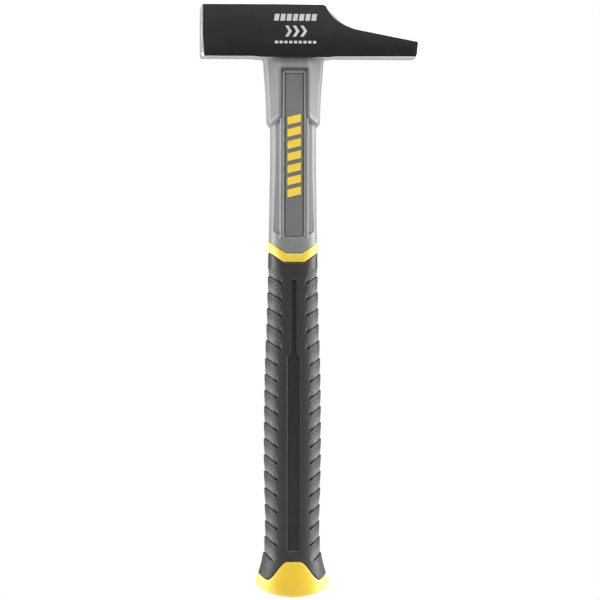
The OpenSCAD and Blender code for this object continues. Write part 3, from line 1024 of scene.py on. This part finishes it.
PAINT = black_paint()
STEEL = ground_steel()
GREY = moulded("grey_jacket", (0.215, 0.215, 0.217), (0.24, 0.24, 0.241), 0.42, neck=True)
INLAY = moulded("inlay_grey", (0.16, 0.16, 0.16), (0.18, 0.18, 0.18), 0.5, 0.5, 0.04, neck=True)
BAND = moulded("yellow_band", (0.70, 0.505, 0.042), (0.73, 0.53, 0.047), 0.42, painted_sheen=(6, 12))
YELLOW = moulded("yellow_butt", (0.68, 0.455, 0.025), (0.71, 0.48, 0.028), 0.42, painted_sheen=(8, 16.5))
MARK = moulded("yellow_mark", (0.78, 0.56, 0.05), (0.86, 0.62, 0.07), 0.4)
PRINT = moulded("white_print", (0.50, 0.50, 0.49), (0.62, 0.62, 0.61), 0.5)
RUBBER = rubber()

# ---------------------------------------------------------------------------
# Assembly
# ---------------------------------------------------------------------------


def place(piece, material, slot, *nodes):
    """Gives a piece its material, and has it stand for the named CAD nodes. Slot is not used."""
    piece.data.materials.clear()
    piece.data.materials.append(material)
    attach(piece, "root")
    if nodes:
        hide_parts(*nodes)
    return piece


def paint_cheeks(head):
    """Paint on the two cheeks, bare steel on the rest."""
    steel, paint = 0, 1
    flat = 0.995
    head.data.materials.append(PAINT)
    for face in head.data.polygons:
        face.material_index = paint if abs(face.normal.y) > flat else steel


def dress_cad_node(name, material, bevel_mm=0.0):
    """Gives a CAD node that stays visible its material, and eases its edges."""
    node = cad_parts[name]
    node.data.materials.clear()
    node.data.materials.append(material)
    if bevel_mm:
        edge = node.modifiers.new("edges", "BEVEL")
        edge.width = bevel_mm * MM
        edge.segments = 2
        edge.limit_method = "ANGLE"


head = place(make_head(), STEEL, "painted_steel", "head")
paint_cheeks(head)
place(make_print(), PRINT, "painted_steel")
place(make_jacket(), GREY, "grey_plastic", "handle_jacket")
place(make_band(), BAND, "yellow_plastic", "accent_band")
place(make_grip(), RUBBER, "black_rubber", "grip_sleeve")
place(make_butt(), YELLOW, "yellow_plastic", "butt_cap")
for side in ("front", "rear"):
    place(make_inlay(side), INLAY, "inlay_plastic", side + "_inlay")
    dress_cad_node(side + "_mark_bars", MARK, 0.08)
dress_cad_node("eye_resin", resin())
dress_cad_node("fibreglass_core", fibreglass())

# ---------------------------------------------------------------------------
# Floor and lights
# ---------------------------------------------------------------------------

FLOOR_DROP = 0.045
FLOOR_RADIUS = 0.42
WORLD_LIGHT = 0.42


def make_floor():
    mesh = bpy.data.meshes.new("floor")
    shape = bmesh.new()
    bmesh.ops.create_circle(shape, cap_ends=True, radius=FLOOR_RADIUS, segments=96)
    shape.to_mesh(mesh)
    shape.free()
    floor = bpy.data.objects.new("floor", mesh)
    floor.location = (0, 0, CAD_BOX[0][2] - FLOOR_DROP)
    bpy.context.scene.collection.objects.link(floor)
    s = Shader("floor_white")
    s.set(base_color=(0.76, 0.76, 0.76), roughness=0.7)
    mesh.materials.append(s.material)


def add_softbox(name, bearing, height, distance, size, power):
    """Area light that faces the middle of the hammer. Bearing 0 is the front, 90 the right."""
    data = bpy.data.lights.new(name, "AREA")
    data.shape = "RECTANGLE"
    data.size, data.size_y = size
    data.energy = power
    light = bpy.data.objects.new(name, data)
    middle = Vector((0, 0, (CAD_BOX[0][2] + CAD_BOX[1][2]) / 2))
    turn = math.radians(bearing)
    light.location = middle + Vector((math.sin(turn) * distance, -math.cos(turn) * distance, height))
    light.rotation_euler = (middle - light.location).to_track_quat("-Z", "Y").to_euler()
    bpy.context.scene.collection.objects.link(light)


def make_world():
    """White to the camera, and a softer grey as light."""
    world = bpy.data.worlds.new("studio")
    bpy.context.scene.world = world
    world.use_nodes = True
    tree = world.node_tree
    out = tree.nodes["World Output"]
    seen = tree.nodes["Background"]
    seen.inputs["Color"].default_value = (1, 1, 1, 1)
    seen.inputs["Strength"].default_value = 1.0
    lit = tree.nodes.new("ShaderNodeBackground")
    lit.inputs["Color"].default_value = (1, 1, 1, 1)
    lit.inputs["Strength"].default_value = WORLD_LIGHT
    path = tree.nodes.new("ShaderNodeLightPath")
    choose = tree.nodes.new("ShaderNodeMixShader")
    tree.links.new(path.outputs["Is Camera Ray"], choose.inputs["Fac"])
    tree.links.new(lit.outputs["Background"], choose.inputs[1])
    tree.links.new(seen.outputs["Background"], choose.inputs[2])
    tree.links.new(choose.outputs["Shader"], out.inputs["Surface"])


make_floor()
make_world()
add_softbox("left_softbox", bearing=-90, height=0.05, distance=0.7, size=(0.5, 0.9), power=9.5)
add_softbox("right_softbox", bearing=88, height=0.15, distance=0.7, size=(0.5, 0.7), power=10.5)
add_softbox("top_softbox", bearing=0, height=0.8, distance=0.3, size=(0.7, 0.7), power=4.7)
bpy.context.scene.view_settings.view_transform = "Standard"
